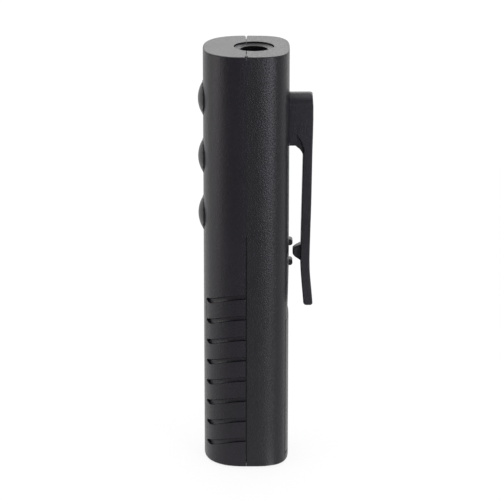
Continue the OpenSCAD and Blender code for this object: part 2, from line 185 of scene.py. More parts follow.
def soft_box(name, place, aim, width, height, power, colour=(1.0, 1.0, 1.0)):
    """A rectangular soft box that faces the point it lights, out of the camera's sight."""
    place = Vector(place)
    turn = (Vector(aim) - place).to_track_quat("-Z", "Y").to_euler()
    bpy.ops.object.light_add(type="AREA", location=place, rotation=turn)
    lamp = bpy.context.object
    lamp.name = name
    lamp.data.shape = "RECTANGLE"
    lamp.data.size = width
    lamp.data.size_y = height
    lamp.data.energy = power
    lamp.data.color = colour
    lamp.visible_camera = False
    return lamp


case_centre = (0, 0, 0.0625)
soft_box("overhead_box", (0.0, 0.0, 1.0), case_centre, 0.9, 0.9, 3)
soft_box("back_box", (-1.0, 0.0, 0.62), case_centre, 1.2, 0.5, 4.2)
soft_box("clip_side_box", (0.33, 0.215, 0.1), (0, 0, 0.1), 0.07, 0.2, 0.7, (0.97, 0.95, 1.03))
soft_box("button_side_box", (0.12, -0.45, 0.08), (0, 0, 0.08), 0.3, 0.16, 0.55, (1.0, 0.94, 0.92))

world = bpy.data.worlds.new("white_room")
scene.world = world
room_dim = 0.8
dark_end = 0.65
dark_from, dark_full = 0.1, 0.8

room = Finish(world)
seen, mirrored_ray = room.rays()
heading = room.parted(room.node("ShaderNodeTexCoord", output=0))[0]
mirrored_glow = 1 - dark_end * heading.between(dark_from, dark_full)
room_glow = seen + mirrored_ray * mirrored_glow + room_dim * (1 - seen - mirrored_ray)
room.surface(room.node("ShaderNodeBackground", None, {"Color": grey(1.0), "Strength": room_glow}))

table_size = 8
table_drop = 0.0002
table_white = 0.9
seen_share, mirrored_share = 0.85, 0.95
painted_dim_far = 0.2
# Painted highlight: a streak of brighter glow on the table, seen only in reflections, on the clip's
# side.
painted_streak_slope, painted_streak_spread = 0.61, 0.16
painted_streak_far = (0.2, 0.3)
painted_streak_gain = 2.6

bpy.ops.mesh.primitive_grid_add(
    x_subdivisions=8, y_subdivisions=8, size=table_size, location=(0, 0, -table_drop)
)
table_top = bpy.context.object
table_top.name = "table_top"
paper = Finish(bpy.data.materials.new("white_paper_painted_glow"))
seen, mirrored_ray = paper.rays()
ahead, across, _ = paper.parted(paper.place())
# The streak is painted glow in the table, seen only in reflections: a painted highlight for the rear
# case to mirror.
off_painted_streak = abs(across / ahead.most(0.01) - painted_streak_slope) / painted_streak_spread
streak = (1 - off_painted_streak).most(0.0) * (1 - ahead.between(*painted_streak_far))
# Painted shade: the table's glow, as seen in reflections, is painted darker toward the camera.
painted_dim_share = mirrored_ray * ahead.between(0.0, painted_dim_far)
glow = paper.mix(painted_dim_share, grey(1.0), grey(1 - dark_end))
matt = paper.node("ShaderNodeBsdfDiffuse", None, {"Color": grey(table_white)})
shining = paper.node(
    "ShaderNodeEmission", None, {"Color": glow, "Strength": 1 + painted_streak_gain * mirrored_ray * streak}
)
shine_share = seen_share * seen + mirrored_share * mirrored_ray
paper.surface(paper.node("ShaderNodeMixShader", None, {0: shine_share, 1: matt, 2: shining}))
table_top.data.materials.append(paper.owner)

# ---------------------------------------------------------------------------------------------
# Front case: the front half of the clamshell, injection moulded in black ABS with a fine
# spark-eroded grain. Eight swept grip grooves are moulded into each side and run out at the seam.
# The buttons come through three holes, and two bosses inside take the circuit board's screws.
# ---------------------------------------------------------------------------------------------
half_width = 13.3
half_depth = 12.5
front_squareness = 2.43
rear_squareness = 3.37
outline_points = 240
wall = 1.8
floor_z = 2.2
roof_z = 122.8
rim_round = 0.42
foot_round = 0.6
seam_half = 0.012
seam_bevel = 0.1
rim_line_from, rim_line_half, rim_line_deep = 4.5, 0.1, 1.0
nick_from, nick_half, nick_deep = 11.9, 0.5, 0.85
tongue_wall = 11.5
rebate_thick, rebate_long = 0.8, 1.3
rebate_floor_z = 0.8
roof_rebate_from, roof_rebate_z = 6.7, 124.2
lamp_y = 2.2
lamp_mouth = 5.8
lamp_bore = 4.0
lamp_mouth_rim = 0.35
lamp_mouth_deep = 0.9
lamp_sides = 128
ring_gap = 0.16
ring_low, ring_high = 124.0, 124.8
button_heights = (75.2, 92.5, 109.8)
button_hole = 5.12
flange_hole = 5.94
flange_seat = -10.6
hole_bevel = 0.05
boss_heights = (83.85, 101.15)
boss_round, boss_bore = 2.1, 0.9
boss_front, boss_back, bore_front = -11.0, -5.6, -9.6
groove_first = 8.85
groove_step = 6.36
groove_count = 8
groove_half = 0.8
groove_deep = 0.75
groove_slant = 0.7
groove_reach = 11.5
groove_sweep = 22.8
groove_tip = 0.3
groove_over = 0.5
groove_floor_round = 0.07
shadow_half = 0.18
shadow_deep = 0.5
shadow_span = (2.0, 71.8)
upper_seam_z = 73
end_zone, foot_zone = 0.6, 0.9
near_centre = -14
smooth_angle = math.radians(38)
merge_within = 0.004
flat_within = math.radians(0.05)


def deselect():
    bpy.ops.object.select_all(action="DESELECT")


def hold(piece):
    """Makes one piece the only selected one, ready for the next operator."""
    deselect()
    piece.select_set(True)
    bpy.context.view_layer.objects.active = piece
    return piece


def pick(piece, kind, wanted):
    """Opens a piece for editing with only the wanted corners, edges or faces selected."""
    hold(piece)
    bpy.ops.object.mode_set(mode="EDIT")
    bpy.ops.mesh.select_mode(type=kind)
    bpy.ops.mesh.select_all(action="DESELECT")
    net = bmesh.from_edit_mesh(piece.data)
    parts = {"VERT": net.verts, "EDGE": net.edges, "FACE": net.faces}[kind]
    chosen = [part for part in parts if wanted(part)]
    for part in chosen:
        part.select_set(True)
    net.select_flush_mode()
    bmesh.update_edit_mesh(piece.data)
    return len(chosen)


def shut(piece):
    bpy.ops.object.mode_set(mode="OBJECT")
    return piece


def middle(part):
    """The middle of an edge or face, in millimetres."""
    total = Vector()
    for corner in part.verts:
        total += corner.co
    return total / len(part.verts) / MM


def sharp(edge, degrees=35):
    return len(edge.link_faces) == 2 and edge.calc_face_angle(0) > math.radians(degrees)


def drawn(points, pull):
    """A flat outline drawn through points and pulled into a solid, in millimetres."""
    deselect()
    bpy.ops.mesh.primitive_circle_add(vertices=len(points), radius=MM, fill_type="NGON")
    solid = bpy.context.object
    for corner, spot in zip(solid.data.vertices, points):
        corner.co = Vector(spot) * MM
    pick(solid, "FACE", lambda face: True)
    bpy.ops.mesh.extrude_region_move(TRANSFORM_OT_translate={"value": Vector(pull) * MM})
    bpy.ops.mesh.select_all(action="SELECT")
    bpy.ops.mesh.normals_make_consistent(inside=False)
    return shut(solid)


def block(x, y, z):
    """A box from its three pairs of sides, in millimetres."""
    deselect()
    bpy.ops.mesh.primitive_cube_add(size=MM)
    solid = bpy.context.object
    solid.scale = [high - low for low, high in (x, y, z)]
    solid.location = [(low + high) / 2 * MM for low, high in (x, y, z)]
    bpy.ops.object.transform_apply(location=True, rotation=True, scale=True)
    return solid


def rod(radius, start, end, sides=96):
    """A round rod from one point to another, in millimetres."""
    start, end = Vector(start), Vector(end)
    deselect()
    bpy.ops.mesh.primitive_cylinder_add(
        vertices=sides,
        radius=radius * MM,
        depth=(end - start).length * MM,
        location=(start + end) / 2 * MM,
        rotation=(end - start).to_track_quat("Z", "Y").to_euler(),
    )
    bpy.ops.object.transform_apply(location=True, rotation=True, scale=True)
    return bpy.context.object


def turned(profile, x=0.0, y=0.0, sides=96):
    """A profile of (radius, height) points, from the axis back to the axis, turned on a lathe."""
    deselect()
    bpy.ops.mesh.primitive_circle_add(vertices=len(profile), radius=MM, fill_type="NOTHING")
    solid = bpy.context.object
    for corner, (radius, height) in zip(solid.data.vertices, profile):
        corner.co = Vector((radius, 0, height)) * MM
    pick(solid, "EDGE", lambda edge: all(corner.co.x < 1e-7 for corner in edge.verts))
    bpy.ops.mesh.delete(type="EDGE")
    shut(solid)
    pick(solid, "VERT", lambda corner: True)
    bpy.ops.mesh.spin(steps=sides, angle=2 * math.pi, center=(0, 0, 0), axis=(0, 0, 1))
    bpy.ops.mesh.select_all(action="SELECT")
    bpy.ops.mesh.remove_doubles(threshold=1e-7)
    bpy.ops.mesh.normals_make_consistent(inside=False)
    return shifted(shut(solid), x, y)


def combine(piece, tool, operation):
    """Adds a tool to a piece, cuts it away or keeps what they share, and uses the tool up."""
    hold(piece)
    bpy.ops.object.modifier_add(type="BOOLEAN")
    modifier = piece.modifiers[-1]
    modifier.operation = operation
    modifier.solver = "MANIFOLD"
    modifier.object = tool
    bpy.ops.object.modifier_apply(modifier=modifier.name)
    bpy.data.objects.remove(tool)
    return piece


def cut(piece, *tools):
    for tool in tools:
        combine(piece, tool, "DIFFERENCE")
    return piece


def add(piece, *tools):
    for tool in tools:
        combine(piece, tool, "UNION")
    return piece


def keep(piece, tool):
    return combine(piece, tool, "INTERSECT")


def copied(piece):
    hold(piece)
    bpy.ops.object.duplicate()
    return bpy.context.object


def shifted(piece, x=0, y=0, z=0):
    piece.location = Vector((x, y, z)) * MM
    hold(piece)
    bpy.ops.object.transform_apply(location=True, rotation=True, scale=True)
    return piece


def mirrored(piece):
    """The same piece on the other side of the case."""
    twin = copied(piece)
    twin.scale = (-1, 1, 1)
    bpy.ops.object.transform_apply(location=True, rotation=True, scale=True)
    pick(twin, "FACE", lambda face: True)
    bpy.ops.mesh.normals_make_consistent(inside=False)
    return shut(twin)


def joined(pieces):
    deselect()
    for piece in pieces:
        piece.select_set(True)
    bpy.context.view_layer.objects.active = pieces[0]
    bpy.ops.object.join()
    return pieces[0]


def bevelled(piece, width, steps, wanted):
    """Rounds the wanted edges to a width in millimetres."""
    if pick(piece, "EDGE", wanted):
        bpy.ops.mesh.bevel(
            offset=width * MM, segments=steps, profile=0.5, affect="EDGES", clamp_overlap=False
        )
    return shut(piece)


def tidied(piece):
    """Merges the doubled corners and the flat faces in pieces that a cut leaves."""
    pick(piece, "VERT", lambda corner: True)
    bpy.ops.mesh.remove_doubles(threshold=merge_within * MM)
    bpy.ops.mesh.dissolve_limited(angle_limit=flat_within)
    return shut(piece)


def finished(piece, name, body, slot, material, *nodes):
    """Names a piece, smooths its round faces, gives it its material and puts it on its body."""
    piece.name = name
    piece.data.name = name
    hold(piece)
    bpy.ops.object.shade_smooth_by_angle(angle=smooth_angle)
    bpy.ops.object.modifier_add(type="WEIGHTED_NORMAL")
    evener = piece.modifiers[-1]
    evener.keep_sharp = True
    bpy.ops.object.modifier_apply(modifier=evener.name)
    piece.data.materials.clear()
    piece.data.materials.append(material)
    if nodes:
        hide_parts(*nodes)
    if body:
        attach(piece, body)
    return piece


def outline_reach(x, y):
    """How far outside the case's outline a point is, in millimetres; below 0 is inside."""
    power = front_squareness if y < 0 else rear_squareness
    level = (abs(x) / half_width) ** power + (abs(y) / half_depth) ** power
    slope_x = power / half_width * (abs(x) / half_width) ** (power - 1)
    slope_y = power / half_depth * (abs(y) / half_depth) ** (power - 1)
    return (level - 1) / max(math.hypot(slope_x, slope_y), 1e-6)


def skin_direction(x, y):
    """Which way the case's outline faces at a point."""
    power = front_squareness if y < 0 else rear_squareness
    face_x = abs(x / half_width) ** (power - 1) / half_width
    face_y = abs(y / half_depth) ** (power - 1) / half_depth
    face = Vector((face_x, face_y)).normalized()
    return math.copysign(face.x, x), math.copysign(face.y, y)


def case_column(inset, low, high):
    """The case's rounded-square outline, drawn where its normal turns evenly, and pulled up."""
    wide, deep = half_width - inset, half_depth - inset
    points = []
    for step in range(outline_points):
        turn = 2 * math.pi * step / outline_points
        across, along = math.cos(turn), math.sin(turn)
        power = front_squareness if along < 0 else rear_squareness
        dual = power / (power - 1)
        size = (abs(wide * across) ** dual + abs(deep * along) ** dual) ** (1 / power)
        x = wide * abs(wide * across) ** (1 / (power - 1)) / size
        y = deep * abs(deep * along) ** (1 / (power - 1)) / size
        points.append((math.copysign(x, across), math.copysign(y, along), low))
    return drawn(points, (0, 0, high - low))


def groove_cutters():
    """The core that forms the grooves: one swept strip wrapped on the skin, then repeated."""
    deselect()
    bpy.ops.mesh.primitive_grid_add(x_subdivisions=56, y_subdivisions=1, size=MM)
    strip = bpy.context.object
    length = groove_sweep * math.asin(groove_reach / groove_sweep)
    narrower = []
    for corner in strip.data.vertices:
        share = math.sin(math.pi / 2 * (corner.co.x / MM + 0.5))
        along = (length + groove_over) * share - groove_over
        past = max(0, along - (length - groove_half)) / groove_half
        half = groove_half * max(groove_tip, math.sqrt(max(0, 1 - past * past)))
        narrower.append(groove_slant * half if corner.co.y > 0 else 0)
        reach = groove_sweep + math.copysign(half, corner.co.y)
        y = -reach * math.sin(along / groove_sweep)
        z = groove_first - groove_sweep + reach * math.cos(along / groove_sweep)
        x = half_width * (1 - (abs(y) / half_depth) ** front_squareness) ** (1 / front_squareness)
        face_x, face_y = skin_direction(x, y)
        corner.co = Vector((x + face_x * groove_over, y + face_y * groove_over, z)) * MM
    strip.data.update()
    hold(strip)
    bpy.ops.object.modifier_add(type="SOLIDIFY")
    wall_maker = strip.modifiers[-1]
    wall_maker.thickness = (groove_deep + groove_over) * MM
    wall_maker.offset = -1 if strip.data.polygons[0].normal.x > 0 else 1
    bpy.ops.object.modifier_apply(modifier=wall_maker.name)
    for index, corner in enumerate(strip.data.vertices):
        if outline_reach(corner.co.x / MM, corner.co.y / MM) < -0.3:
            corner.co.z -= narrower[index % len(narrower)] * MM
    pick(strip, "FACE", lambda face: True)
    bpy.ops.mesh.normals_make_consistent(inside=False)
    shut(strip)
    cutters = [strip]
    for index in range(1, groove_count):
        cutters.append(shifted(copied(strip), z=index * groove_step))
    cutters += [mirrored(cutter) for cutter in list(cutters)]
    grooves = joined(cutters)

    def on_floor(edge):
        return sharp(edge) and outline_reach(*middle(edge).xy) < -0.85 * groove_deep

    return bevelled(grooves, groove_floor_round, 2, on_floor)


def shadow_cutters():
    """The rebate along the seam, which keeps the join a straight dark line."""
    side = (half_width - shadow_deep, half_width + 0.5)
    first = block(side, (-shadow_half, shadow_half), shadow_span)
    return joined([first, mirrored(first)])


def rim_notches():
    """The fine line that the seam draws across the roof, and the nick it leaves in the rim."""
    line_z = (case_height - rim_line_deep, case_height + 1)
    line = block((rim_line_from, 14), (-rim_line_half, rim_line_half), line_z)
    nick = [(-nick_half, 0.2), (0, -nick_deep), (nick_half, 0.2)]
    nick = [(nick_from, y, case_height + z) for y, z in nick]
    first = add(line, drawn(nick, (2, 0, 0)))
    return joined([first, mirrored(first)])


def on_outside(edge):
    """Whether an edge lies on the outer skin, on a rim or on an end face, away from its middle."""
    spot = middle(edge)
    reach = outline_reach(spot.x, spot.y)
    flat_end = spot.z > case_height - end_zone or spot.z < foot_zone
    return abs(reach) < 0.03 or flat_end and near_centre < reach < -0.02


def seam_or_skin(edge):
    """The outside edges that are rounded: not the seam above its rebate, nor inside the foot."""
    spot = middle(edge)
    upper_seam = abs(spot.y) < 0.6 and spot.z > upper_seam_z and abs(spot.x) > rim_line_from - 0.1
    under = spot.z < foot_zone and outline_reach(spot.x, spot.y) < -2
    return sharp(edge) and on_outside(edge) and not upper_seam and not under


case_body = case_column(0, 0, case_height)
bevelled(case_body, rim_round, 4, lambda edge: sharp(edge) and middle(edge).z > case_height - 1)
bevelled(case_body, foot_round, 4, lambda edge: sharp(edge) and middle(edge).z < 0.1)
cut(case_body, case_column(wall, floor_z, roof_z))
above = case_height + 1
mouth = [(0, roof_z - 1), (lamp_bore, roof_z - 1), (lamp_bore, case_height - lamp_mouth_deep)]
mouth += [(lamp_mouth, case_height - lamp_mouth_rim), (lamp_mouth, above), (0, above)]
cut(case_body, turned(mouth, 0, lamp_y, lamp_sides))
ring_outside = lamp_mouth + 0.001
ring = [(lamp_mouth - ring_gap, ring_low), (ring_outside, ring_low), (ring_outside, ring_high)]
ring = turned([(0, ring_low)] + ring + [(0, ring_high)], 0, lamp_y, lamp_sides)
cut(ring, rod(lamp_mouth - ring_gap, (0, lamp_y, ring_low - 1), (0, lamp_y, above), lamp_sides))
cut(case_body, ring)
cut(case_body, shadow_cutters())
cut(case_body, rim_notches())

front_case = copied(case_body)
keep(front_case, block((-20, 20), (-30, -seam_half), (-1, 130)))
rebate = tongue_wall + rebate_thick
cut(front_case, block((-rebate, rebate), (-rebate_long, 1), (rebate_floor_z, roof_z)))
roof_rebate = block((roof_rebate_from, rebate), (-rebate_long, 1), (roof_z - 1, roof_rebate_z))
cut(front_case, joined([roof_rebate, mirrored(roof_rebate)]))
for height in button_heights:
    cut(front_case, rod(button_hole, (0, -20, height), (0, 0, height)))
    cut(front_case, rod(flange_hole, (0, flange_seat, height), (0, 0, height)))
cut(front_case, groove_cutters())
for height in boss_heights:
    boss = rod(boss_round, (0, boss_front, height), (0, boss_back, height), 48)
    cut(boss, rod(boss_bore, (0, bore_front, height), (0, boss_back + 1.6, height), 24))
    add(front_case, boss)
tidied(front_case)
bevelled(front_case, hole_bevel, 2, lambda edge: seam_or_skin(edge) and middle(edge).y < -0.3)
bevelled(front_case, seam_bevel, 2, lambda edge: seam_or_skin(edge) and middle(edge).y > -0.25)


def noise(finish, place, scale, detail):
    """A soft random pattern; the higher its scale, the finer it is."""
    return finish.node("ShaderNodeTexNoise", None, {"Vector": place, "Scale": scale, "Detail": detail})


def relief(finish, height, deep):
    """Fine relief on the skin, so many millimetres deep."""
    sockets = {"Strength": 1.0, "Distance": deep * MM, "Height": height}
    return finish.node("ShaderNodeBump", None, sockets)


def skinned(finish, sockets):
    """The material, made of one principled skin with these sockets."""
    return finish.surface(finish.node("ShaderNodeBsdfPrincipled", None, sockets))


def shaded(colour, share=1.0):
    """A colour's three parts, all dimmed or lifted alike, with a full alpha."""
    return [share * part for part in colour] + [1]


def moulded_plastic(name, shade, roughness, grain_high, gloss, tint=(1.1, 1.0, 1.5)):
    """Moulded plastic: an even spark-eroded grain, faint flow clouds and uneven polish."""
    plastic = Finish(bpy.data.materials.new(name))
    place = plastic.place()
    grain = noise(plastic, place, 2500, 3.0)
    fleck = noise(plastic, place, 900, 2.0)
    cloud = noise(plastic, place, 85, 3.0)
    tone = (0.45 * fleck + 0.55 * cloud).between(0.3, 0.7)
    sockets = {
        "Base Color": plastic.mix(tone, shaded(tint, shade * 0.78), shaded(tint, shade * 1.25)),
        "Roughness": roughness + 0.1 * (fleck - 0.5) + 0.08 * (cloud - 0.5),
        "IOR": gloss,
        "Normal": relief(plastic, 0.88 * grain + 0.12 * fleck, grain_high),
    }
    return skinned(plastic, sockets)


front_tint = (1.35, 1.0, 1.9)
front_finish = moulded_plastic("grained_black_abs", 0.0037, 0.35, 0.13, 1.38, front_tint)
finished(front_case, "front_case", "housing", "case_plastic", front_finish, "front_shell")

# ---------------------------------------------------------------------------------------------
# Rear case: the other half of the clamshell, in the same black ABS. A tongue round its seam seats
# in the front half. Its back has two small ribs under the clip, a thumb hollow above the battery
# door, the door's opening with pockets for its two hooks, and shelves inside for the lamp board.
# ---------------------------------------------------------------------------------------------
door_half = 8.65
door_gap = 0.22
door_low = 2.5
door_high = 44.35
door_front = 6.7
hook_x = 6.0
hook_half = 1.2
pocket_side = 0.2
pocket_y, pocket_z = (9.1, 10.8), (0.9, 3.0)
tongue_thick, tongue_long = 0.7, 1.2
roof_tongue_from, roof_tongue_z = 6.8, 124.1
tongue_foot = 0.9
screw_heights = (105.1, 100.6)
screw_hole = 1.05
shelf_x, shelf_half = 4, 1
shelf_y, shelf_z = (7.3, 10.9), 108.9
rib_heights = (60.15, 66.3)
rib_wide, rib_half, rib_reach = 1.6, 0.95, 13.6
rib_top_round, rib_end_round = 0.8, 0.25

rear_case = case_body
keep(rear_case, block((-20, 20), (seam_half, 30), (-1, 130)))
opening = door_half + door_gap
cut(rear_case, block((-opening, opening), (door_front, 20), (door_low, door_high + door_gap)))
for side in (-1, 1):
    pocket = hook_half + pocket_side
    cut(rear_case, block((side * hook_x - pocket, side * hook_x + pocket), pocket_y, pocket_z))
hollow = [(13.4, 63.5), (12.53, 62.6), (12.47, 61.0), (12.40, 57.5), (12.28, 53.5), (12.15, 49.5)]
hollow += [(12.07, 47.4), (12.06, 46.0), (12.06, 44.0), (13.4, 44.0)]
cut(rear_case, drawn([(-door_half, y, z) for y, z in hollow], (2 * door_half, 0, 0)))
for height in screw_heights:
    cut(rear_case, rod(screw_hole, (0, 9.5, height), (0, 13.5, height), 32))
tongue_out = tongue_wall + tongue_thick
tongue_y = (-tongue_long, 1)
for side in (-1, 1):
    tongue = sorted((side * tongue_wall, side * tongue_out))
    add(rear_case, block(tongue, tongue_y, (floor_z + 0.1, roof_z - 0.1)))
    roof_tongue = sorted((side * roof_tongue_from, side * tongue_out))
    add(rear_case, block(roof_tongue, tongue_y, (roof_z - 0.6, roof_tongue_z)))
    shelf = (side * shelf_x - shelf_half, side * shelf_x + shelf_half)
    add(rear_case, block(shelf, shelf_y, (shelf_z - 1, shelf_z)))
add(rear_case, block((-tongue_out, tongue_out), tongue_y, (tongue_foot, floor_z + 0.5)))
tidied(rear_case)
bevelled(rear_case, seam_bevel, 2, lambda edge: seam_or_skin(edge) and middle(edge).y < 12.48)


def rib_top(edge):
    return middle(edge).y > rib_reach - 0.05 and abs(middle(edge).x) < 0.1


for height in rib_heights:
    rib = block((-rib_wide, rib_wide), (11.6, rib_reach), (height - rib_half, height + rib_half))
    bevelled(rib, rib_top_round, 5, rib_top)
    bevelled(rib, rib_end_round, 2, lambda edge: sharp(edge, 20) and abs(middle(edge).x) > 1.55)
    add(rear_case, rib)
rear_finish = moulded_plastic("grained_soft_black_abs", 0.0046, 0.35, 0.13, 1.38)
finished(rear_case, "rear_case", "housing", "case_plastic", rear_finish, "rear_shell")

# ---------------------------------------------------------------------------------------------
# Battery door: a curved plate of the same black ABS that fills the lower back. Two hooks on its
# bottom edge turn in the rear case, and a thumb in the hollow above it pulls its top edge.
# ---------------------------------------------------------------------------------------------
door_edge_round = 0.14
hook_front, hook_back, hook_round = 10.0, 10.72, 0.18
hook_low, hook_high = door_low - 1.3, door_low + 3
stem_front, stem_back = 10.2, 11.15

door = case_column(0, 0, case_height)
cut(door, case_column(wall, -1, case_height + 1))
keep(door, block((-door_half, door_half), (5, 20), (door_low + door_gap, door_high)))
tidied(door)
bevelled(door, door_edge_round, 2, lambda edge: sharp(edge) and on_outside(edge))


def hook_tip(edge):
    return middle(edge).z < hook_low + 0.1 and abs(middle(edge).y - 10.35) > 0.2


for side in (-1, 1):
    hook_span = (side * hook_x - hook_half, side * hook_x + hook_half)
    hook = block(hook_span, (hook_front, hook_back), (hook_low, hook_high))
    bevelled(hook, hook_round, 2, hook_tip)
    add(door, hook)
    add(door, block(hook_span, (stem_front, stem_back), (door_low + door_gap, hook_high)))
finished(door, "battery_cover", "door", "case_plastic", rear_finish, "battery_door")

# ---------------------------------------------------------------------------------------------
# Pocket clip: one moulding in a slightly smoother black plastic. Two screws from inside hold its
# pad to the rear case. The long arm springs from the head, and a tooth under it pinches the cloth.
# ---------------------------------------------------------------------------------------------
clip_half = 3.4
clip_top = 111.5
clip_tip = 47.4
pad_back = 14.7
pad_low = 96.3
head_back, tip_back, tip_front = 19.12, 19.6, 16.86
head_round, tip_round, clip_edge_round = 0.9, 0.8, 0.34
round_steps = 32
web_half, tooth_half, tooth_round = 2.1, 1.45, 0.3
thread_round = 0.9
bend_from, bend_slices, bend_step = 90.5, 24, 0.5

side_view = [(14.0, clip_top), (head_back, clip_top), (19.36, 108), (19.38, 104), (19.31, 100)]
side_view += [(19.19, 95), (18.97, 79), (18.77, 71), (18.62, 64.5), (18.58, 61.4), (18.65, 58.2)]
side_view += [(18.88, 55)]
side_view += [(tip_back, clip_tip), (tip_front, clip_tip), (16.18, 55), (15.94, 58.2), (15.86, 61.2)]
side_view += [(15.90, 64.5), (16.02, 71), (16.17, 79), (16.44, 93), (16.64, 95.1), (15.9, 97.2)]
side_view += [(pad_back, 99.6), (14.0, 99.6)]
clip = drawn([(-clip_half, y, z) for y, z in side_view], (2 * clip_half, 0, 0))


def end_on(edge, y, z):
    spot = middle(edge)
    return abs(spot.y - y) < 0.05 and abs(spot.z - z) < 0.05 and abs(spot.x) < 0.05


def on_tip(edge):
    return end_on(edge, tip_back, clip_tip) or end_on(edge, tip_front, clip_tip)


bevelled(clip, head_round, 6, lambda edge: end_on(edge, head_back, clip_top))
bevelled(clip, tip_round, 5, on_tip)
round_top = []
for step in range(round_steps + 1):
    turn = math.pi * step / round_steps
    height = clip_top - clip_half + clip_half * math.sin(turn)
    round_top.append((clip_half * math.cos(turn), 10, height))
back_view = round_top + [(-clip_half, 10, clip_tip - 1), (clip_half, 10, clip_tip - 1)]
keep(clip, drawn(back_view, (0, 12, 0)))
pad_view = round_top + [(-clip_half, 10, pad_low), (clip_half, 10, pad_low)]
pad = drawn(pad_view, (0, pad_back - 10, 0))
cut(pad, case_column(-0.02, 80, case_height))
add(clip, pad)
web_view = [(13.0, 101), (13.0, 96.35), (13.4, 96.25), (14.2, 95.95), (14.76, 95.5), (15.34, 95.07)]
web_view += [(15.92, 94.3), (16.36, 93.4), (16.59, 92.3), (17.4, 92.3), (17.4, 101)]
add(clip, drawn([(-web_half, y, z) for y, z in web_view], (2 * web_half, 0, 0)))
tooth_view = [(16.6, 65.8), (15.9, 65.7), (14.3, 64.8), (13.6, 64.2), (13.6, 62.6), (14.2, 61.9)]
tooth_view += [(15.9, 60.7), (16.6, 60.6)]
tooth = drawn([(-tooth_half, y, z) for y, z in tooth_view], (2 * tooth_half, 0, 0))
bevelled(tooth, tooth_round, 3, lambda edge: sharp(edge, 15) and middle(edge).y < 15.9)


def on_clip_rim(edge):
    spot = middle(edge)
    beside = abs(spot.x) > 2.9 or spot.z > clip_top - clip_half
    return sharp(edge) and spot.y > 15.0 and beside


tidied(clip)
bevelled(clip, clip_edge_round, 3, on_clip_rim)
add(clip, tooth)
for height in screw_heights:
    cut(clip, rod(thread_round, (0, 11.5, height), (0, 15.5, height), 32))
for level in range(bend_slices):
    pick(clip, "FACE", lambda face: True)
    slice_z = (bend_from + level * bend_step) * MM
    bpy.ops.mesh.bisect(plane_co=(0, 0, slice_z), plane_no=(0, 0, 1))
    shut(clip)
clip_finish = moulded_plastic("fine_black_clip_plastic", 0.0085, 0.36, 0.08, 1.38)
finished(clip, "pocket_clip", None, "clip_plastic", clip_finish, "clip_root", "clip_arm")
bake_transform(clip)

# ---------------------------------------------------------------------------------------------
# Push buttons: three low domes in satin black plastic, each with a flange behind the front case
# that keeps it in. One is made and copied. Each presses a post on a small switch on the board.
# ---------------------------------------------------------------------------------------------
button_round = 5.0
button_edge_round = 0.28
dome_front = -13.99
dome_radius = 8.9
dome_rings = 96
flange_round = 5.82
flange_front = -10.5
flange_back = -9.7

deselect()
bpy.ops.mesh.primitive_uv_sphere_add(
    segments=dome_rings,
    ring_count=dome_rings,
    radius=dome_radius * MM,
    location=(0, (dome_front + dome_radius) * MM, 0),
    rotation=(math.pi / 2, 0, 0),
)
button = bpy.context.object
bpy.ops.object.transform_apply(location=True, rotation=True, scale=True)
keep(button, rod(button_round, (0, -20, 0), (0, flange_front + 0.3, 0)))
bevelled(button, button_edge_round, 3, lambda edge: sharp(edge, 25) and middle(edge).y < -11)
add(button, rod(flange_round, (0, flange_front, 0), (0, flange_back, 0)))
button_finish = moulded_plastic("satin_black_button_plastic", 0.006, 0.36, 0.04, 1.4)
button_nodes = {"lower": "button_bottom", "middle": "button_middle", "upper": "button_top"}
for (where, node), height in zip(button_nodes.items(), button_heights):
    twin = shifted(copied(button), z=height)
    finished(twin, where + "_push_button", where + "_button", "button_plastic", button_finish, node)
bpy.data.objects.remove(button)

# ---------------------------------------------------------------------------------------------
# Lamp tube: a black moulded tube held under the case's roof by its collar. It shades the three
# lamps, and carries the case's lamp hole down to them.
# ---------------------------------------------------------------------------------------------
tube_low, collar_low, tube_high = 110.0, 121.1, 122.7
tube_round, collar_round, collar_edge_round = 5.9, 6.7, 0.16

tube = rod(tube_round, (0, lamp_y, tube_low), (0, lamp_y, tube_high), lamp_sides)
add(tube, rod(collar_round, (0, lamp_y, collar_low), (0, lamp_y, tube_high), lamp_sides))
cut(tube, rod(lamp_bore, (0, lamp_y, tube_low - 1), (0, lamp_y, tube_high + 1), lamp_sides))
bevelled(tube, collar_edge_round, 3, lambda edge: sharp(edge) and middle(edge).z > tube_high - 0.05)
tube_finish = moulded_plastic("black_tube_plastic", 0.008, 0.45, 0.03, 1.42)
finished(tube, "lamp_tube", "housing", "barrel_plastic", tube_finish, "lamp_barrel")

# ---------------------------------------------------------------------------------------------
# Lamps: three 3 mm diodes in clear resin on the lamp board, ultraviolet at the back, white and
# infrared at the front. Each has a flat on its flange and a stamped metal cup and post inside it.
# ---------------------------------------------------------------------------------------------
diode_low = 110.0
diode_ring = 2.15
lens_round, lens_shoulder, lens_steps = 1.5, 3.7, 12
flange_flat = -1.53
post_edge_round = 0.08


def clear_resin(name, tint):
    """Cast resin, clear with a faint tint and a few ripples."""
    resin = Finish(bpy.data.materials.new(name))
    ripple = noise(resin, resin.place(), 700, 2.0)
    sockets = {
        "Base Color": resin.mix(ripple, shaded(tint, 0.9), shaded(tint)),
        "Roughness": 0.05 + 0.06 * ripple,
        "IOR": 1.53,
        "Transmission Weight": 0.9,
    }
    return skinned(resin, sockets)


